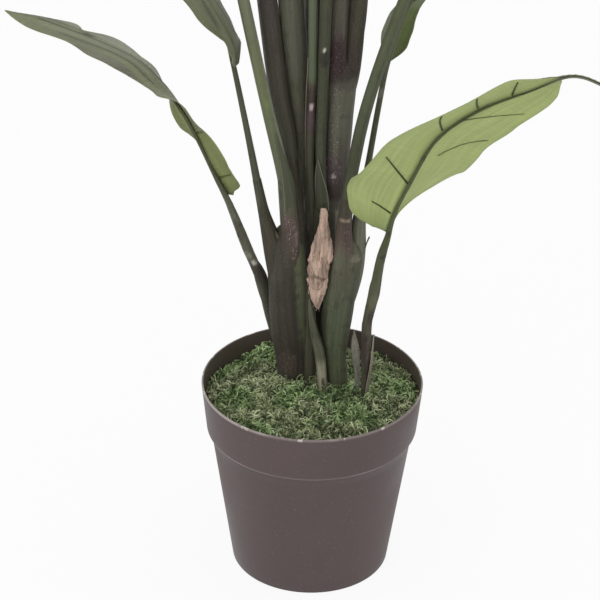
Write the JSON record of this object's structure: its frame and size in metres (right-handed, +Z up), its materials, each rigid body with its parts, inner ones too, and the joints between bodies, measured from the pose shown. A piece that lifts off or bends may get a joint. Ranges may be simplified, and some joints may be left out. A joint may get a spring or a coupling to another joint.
{
  "type": "potted artificial banana plant",
  "caption": "Artificial banana plant: long stalks with broad arching leaves rising from bundled stems set in a moss-topped tapered pot.",
  "frame": {"origin": "on the pot's axis, on the surface that the pot stands on", "axes": "+Z up along the pot's axis; -Y is the side that the picture shows; +X is to that viewer's right"},
  "size_m": [0.7144, 0.5635, 1.3732],
  "materials": {
    "pot_plastic": "satin, lightly scuffed at the rim",
    "filler": "cast cement, matte",
    "moss": "curly dyed moss, matte",
    "trunk": "ribbed, brown turning to green",
    "sheath": "ribbed grey-green with pale flecks",
    "dry_sheath": "dried, pale and matte",
    "husk": "dry fibrous scale, matte",
    "stalk": "satin, streaked green and brown",
    "light_stalk": "satin, light green",
    "low_stalk": "satin, knobbly, green and brown",
    "blade": "satin coated fabric with fine cross veins",
    "blade_underside_light": "matte light green with dark moulded ribs"
  },
  "bodies": {
    "root": {"pot": "pot_plastic", "potting_filler": "filler", "moss_layer": "moss", "left_trunk": "trunk", "right_trunk": "trunk", "rear_trunk": "trunk", "centre_sheath": "sheath", "upper_sheath": "sheath", "dry_sheath": "dry_sheath", "husk": "husk", "stalk_low_left": "low_stalk", "stalk_low_right": "low_stalk", "stalk_mid_left": "stalk", "stalk_mid_right": "stalk", "stalk_front_left": "light_stalk", "stalk_front_right": "stalk", "stalk_left": "stalk", "stalk_back_left": "stalk", "stalk_front": "light_stalk", "stalk_top": "stalk", "stalk_back": "stalk", "stalk_back_right": "stalk", "stalk_right": "stalk", "blade_low_left": "blade", "blade_low_right": "blade_underside_light", "blade_mid_left": "blade", "blade_mid_right": "blade", "blade_front_left": "blade", "blade_front_right": "blade", "blade_left": "blade", "blade_back_left": "blade", "blade_front": "blade", "blade_top": "blade", "blade_back": "blade", "blade_back_right": "blade", "blade_right": "blade"}
  },
  "joints": []
}
